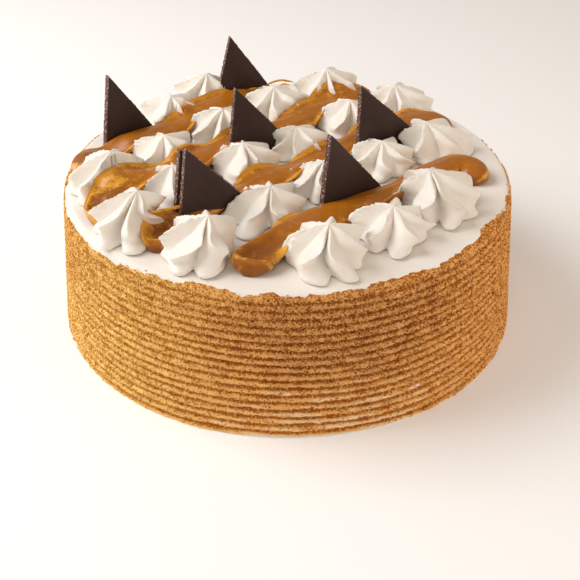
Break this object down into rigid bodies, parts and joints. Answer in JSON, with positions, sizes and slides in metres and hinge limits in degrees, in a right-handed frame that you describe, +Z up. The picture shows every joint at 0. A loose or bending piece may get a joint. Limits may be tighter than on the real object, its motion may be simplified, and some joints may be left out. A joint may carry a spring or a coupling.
{
  "type": "lucuma cake",
  "caption": "Round cream cake with a combed, crumb-coated side, topped with rows of piped cream rosettes, ribbons of caramel sauce and upright dark chocolate triangles.",
  "frame": {"origin": "middle of the flat underside of the cake", "axes": "+Z up through the middle of the cake, the front of the picture's view at -Y, +X to the right of it"},
  "size_m": [0.24, 0.24, 0.115],
  "materials": {
    "crumb_coat": "dry golden-brown toasted crumbs pressed on combed cream, coarse and matt",
    "whipped_cream": "warm white piped cream, soft satin",
    "caramel_sauce": "thick glossy orange-brown sauce",
    "dark_chocolate": "smooth dark chocolate, satin faces and rough cut edges"
  },
  "bodies": {
    "root": {"cake_body": "crumb_coat", "cream_rosette_a1": "whipped_cream", "cream_rosette_a2": "whipped_cream", "cream_rosette_a3": "whipped_cream", "cream_rosette_b1": "whipped_cream", "cream_rosette_b2": "whipped_cream", "cream_rosette_b3": "whipped_cream", "cream_rosette_b4": "whipped_cream", "cream_rosette_b5": "whipped_cream", "cream_rosette_c1": "whipped_cream", "cream_rosette_c2": "whipped_cream", "cream_rosette_c3": "whipped_cream", "cream_rosette_c4": "whipped_cream", "cream_rosette_c5": "whipped_cream", "cream_rosette_c6": "whipped_cream", "cream_rosette_d1": "whipped_cream", "cream_rosette_d2": "whipped_cream", "cream_rosette_d3": "whipped_cream", "cream_rosette_d4": "whipped_cream", "cream_rosette_d5": "whipped_cream", "cream_rosette_e1": "whipped_cream", "cream_rosette_e2": "whipped_cream", "sauce_ribbon_1": "caramel_sauce", "sauce_ribbon_2": "caramel_sauce", "sauce_ribbon_3": "caramel_sauce", "sauce_ribbon_4": "caramel_sauce", "chocolate_1_front": "dark_chocolate", "chocolate_1_back": "dark_chocolate", "chocolate_2": "dark_chocolate", "chocolate_3": "dark_chocolate", "chocolate_4": "dark_chocolate", "chocolate_5": "dark_chocolate", "chocolate_6": "dark_chocolate"}
  },
  "joints": []
}
